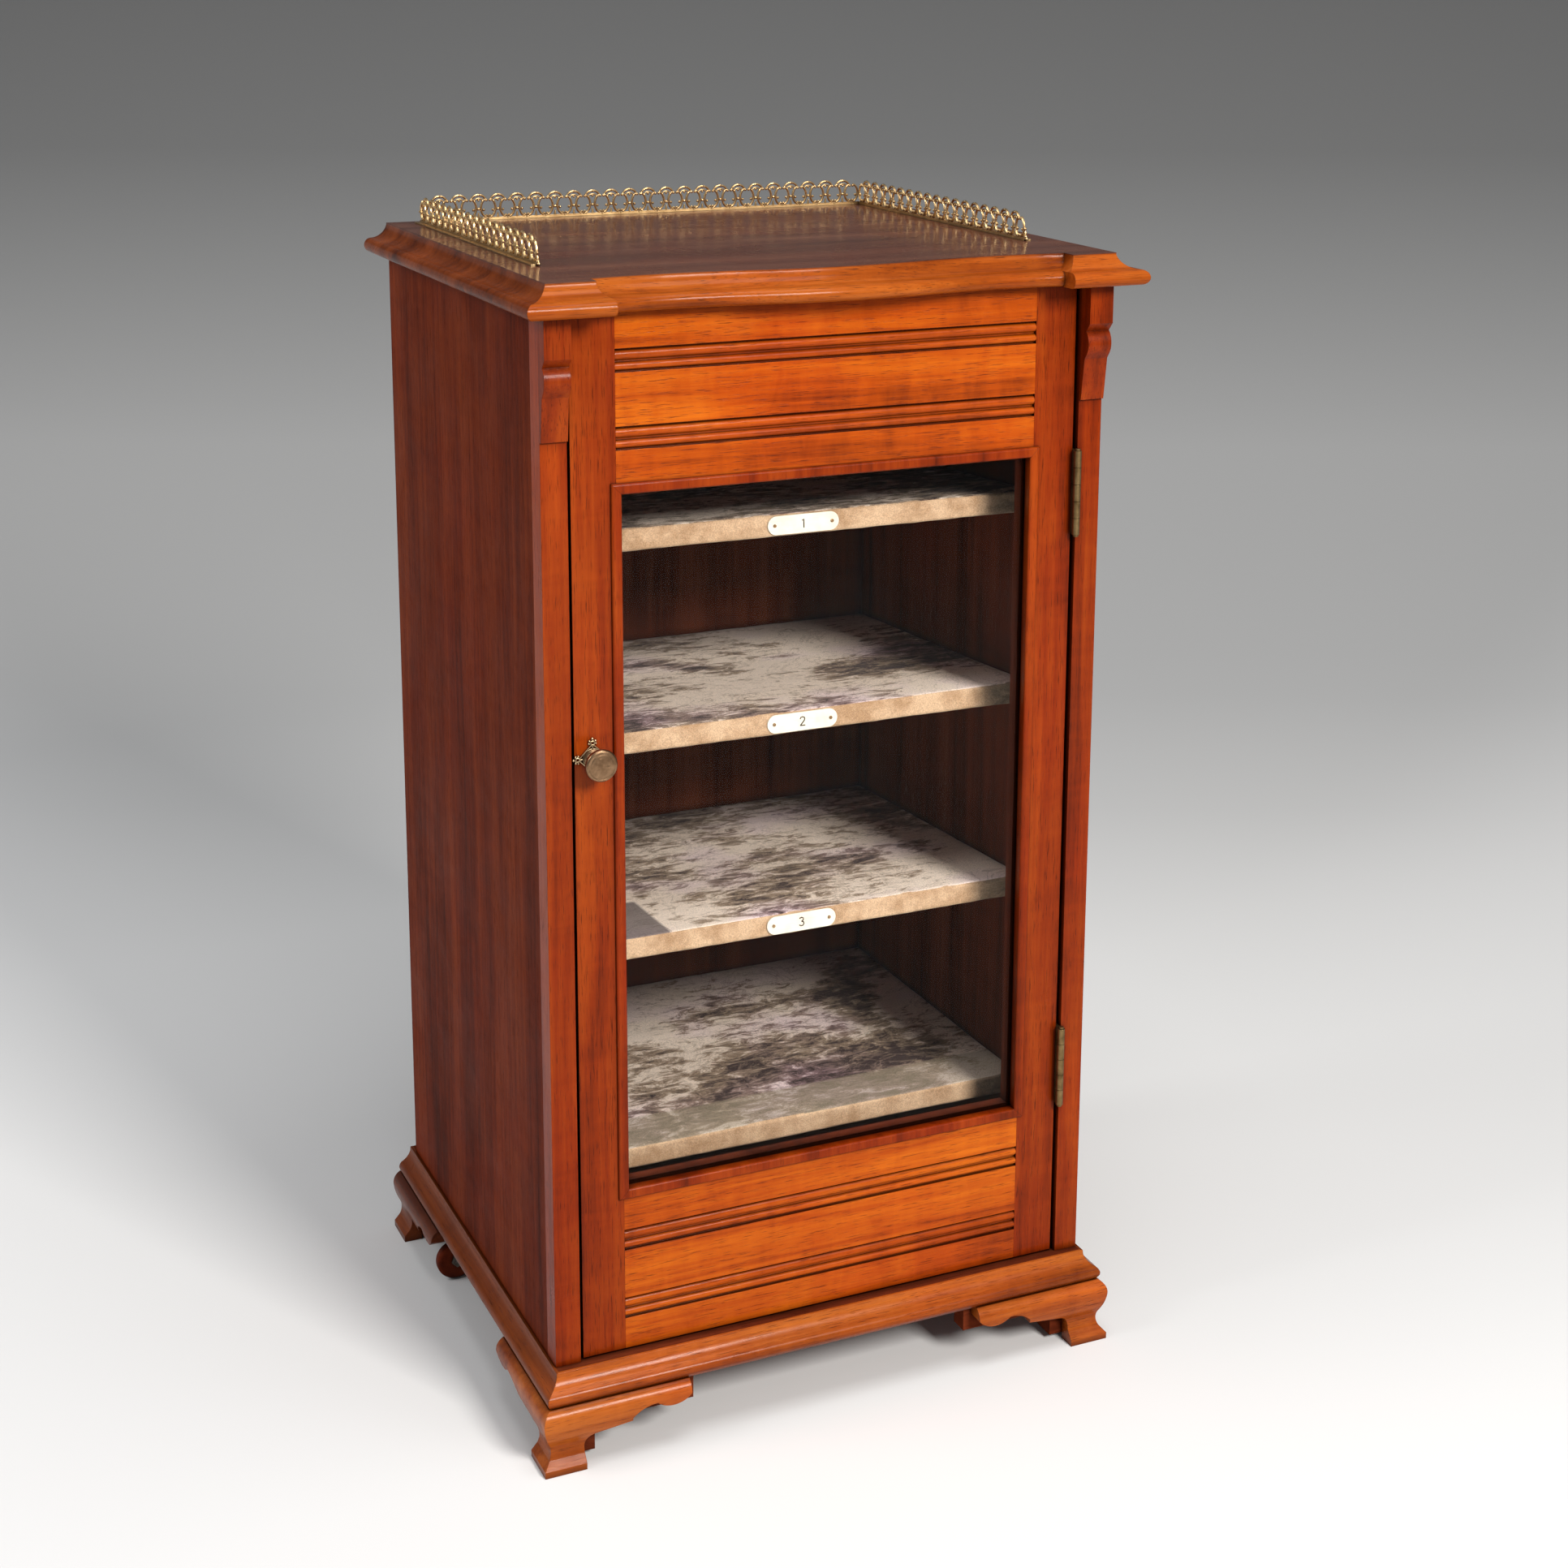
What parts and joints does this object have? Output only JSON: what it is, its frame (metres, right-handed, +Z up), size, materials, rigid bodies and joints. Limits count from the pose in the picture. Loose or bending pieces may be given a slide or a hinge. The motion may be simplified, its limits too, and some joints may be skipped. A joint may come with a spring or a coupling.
{
  "type": "music cabinet",
  "caption": "Upright wooden music cabinet: glazed door, sloping fabric-covered shelves, waved top with a low pierced gallery, bracket feet with hidden casters.",
  "frame": {"origin": "on the floor, in the middle of the bounding box", "axes": "+Z up, the door faces -Y, +X to the right seen from the front"},
  "size_m": [0.565, 0.4964, 1.0654],
  "materials": {
    "walnut_case": "satin polish",
    "walnut_top": "gloss polish",
    "walnut_door": "satin polish",
    "walnut_base": "satin polish",
    "inner_wood": "matt",
    "velvet": "crushed pile",
    "glass": "clear",
    "gallery_brass": "aged, dark in the hollows",
    "hinge_brass": "dull",
    "knob_bronze": "worn, brown",
    "catch_brass": "dull",
    "ivory": "smooth, aged ivory colour",
    "pin_brass": "dull",
    "caster_iron": "dark",
    "caster_wood": "worn"
  },
  "bodies": {
    "cabinet": {"back_panel": "inner_wood", "back_rail_bottom": "inner_wood", "back_rail_top": "inner_wood", "back_stile_left": "inner_wood", "back_stile_right": "inner_wood", "base_board": "inner_wood", "caster_plates": "caster_iron", "corbel_left": "walnut_case", "corbel_right": "walnut_case", "foot_back_left": "walnut_base", "foot_back_right": "walnut_base", "foot_blocks": "inner_wood", "foot_front_left": "walnut_base", "foot_front_right": "walnut_base", "front_post_left": "walnut_case", "front_post_right": "walnut_case", "gallery_back": "gallery_brass", "gallery_left": "gallery_brass", "gallery_right": "gallery_brass", "hinge_leaves_post": "hinge_brass", "hinge_pins": "hinge_brass", "label_pins": "pin_brass", "lining_left": "inner_wood", "lining_right": "inner_wood", "plinth_moulding_front": "walnut_base", "plinth_moulding_left": "walnut_base", "plinth_moulding_right": "walnut_base", "shelf_1": "inner_wood", "shelf_2": "inner_wood", "shelf_3": "inner_wood", "shelf_4": "inner_wood", "shelf_cover_1": "velvet", "shelf_cover_2": "velvet", "shelf_cover_3": "velvet", "shelf_cover_4": "velvet", "shelf_labels": "ivory", "side_left": "walnut_case", "side_right": "walnut_case", "top_board": "walnut_top", "top_stop_rail": "walnut_case"},
    "door": {"door_stile_left": "walnut_door", "door_stile_right": "walnut_door", "door_rail_top": "walnut_door", "door_rail_bottom": "walnut_door", "glazing_moulding": "walnut_door", "glass_pane": "glass", "glazing_beads": "walnut_door", "hinge_leaves_door": "hinge_brass", "knob_plate": "knob_bronze"},
    "knob": {"door_knob": "knob_bronze", "door_catch": "catch_brass"},
    "caster_front_left": {"caster_horn_front_left": "caster_iron"},
    "wheel_front_left": {"caster_wheel_front_left": "caster_wood"},
    "caster_front_right": {"caster_horn_front_right": "caster_iron"},
    "wheel_front_right": {"caster_wheel_front_right": "caster_wood"},
    "caster_back_left": {"caster_horn_back_left": "caster_iron"},
    "wheel_back_left": {"caster_wheel_back_left": "caster_wood"},
    "caster_back_right": {"caster_horn_back_right": "caster_iron"},
    "wheel_back_right": {"caster_wheel_back_right": "caster_wood"}
  },
  "joints": [
    {"name": "door_hinge", "type": "hinge", "parent": "cabinet", "child": "door", "pos_m": [0.23625, -0.2118, 0.552], "axis": [0, 0, 1], "range_deg": [0, 105]},
    {"name": "knob_turn", "type": "hinge", "parent": "door", "child": "knob", "pos_m": [-0.2188, -0.194, 0.638], "axis": [0, -1, 0], "range_deg": [0, 90]},
    {"name": "swivel_front_left", "type": "hinge", "parent": "cabinet", "child": "caster_front_left", "pos_m": [-0.238, -0.104, 0.055], "axis": [0, 0, 1], "continuous": true},
    {"name": "wheel_spin_front_left", "type": "hinge", "parent": "caster_front_left", "child": "wheel_front_left", "pos_m": [-0.222, -0.104, 0.02], "axis": [0, 1, 0], "continuous": true},
    {"name": "swivel_front_right", "type": "hinge", "parent": "cabinet", "child": "caster_front_right", "pos_m": [0.238, -0.104, 0.055], "axis": [0, 0, 1], "continuous": true},
    {"name": "wheel_spin_front_right", "type": "hinge", "parent": "caster_front_right", "child": "wheel_front_right", "pos_m": [0.222, -0.104, 0.02], "axis": [0, 1, 0], "continuous": true},
    {"name": "swivel_back_left", "type": "hinge", "parent": "cabinet", "child": "caster_back_left", "pos_m": [-0.238, 0.123, 0.055], "axis": [0, 0, 1], "continuous": true},
    {"name": "wheel_spin_back_left", "type": "hinge", "parent": "caster_back_left", "child": "wheel_back_left", "pos_m": [-0.254, 0.123, 0.02], "axis": [0, 1, 0], "continuous": true},
    {"name": "swivel_back_right", "type": "hinge", "parent": "cabinet", "child": "caster_back_right", "pos_m": [0.238, 0.123, 0.055], "axis": [0, 0, 1], "continuous": true},
    {"name": "wheel_spin_back_right", "type": "hinge", "parent": "caster_back_right", "child": "wheel_back_right", "pos_m": [0.254, 0.123, 0.02], "axis": [0, 1, 0], "continuous": true}
  ]
}
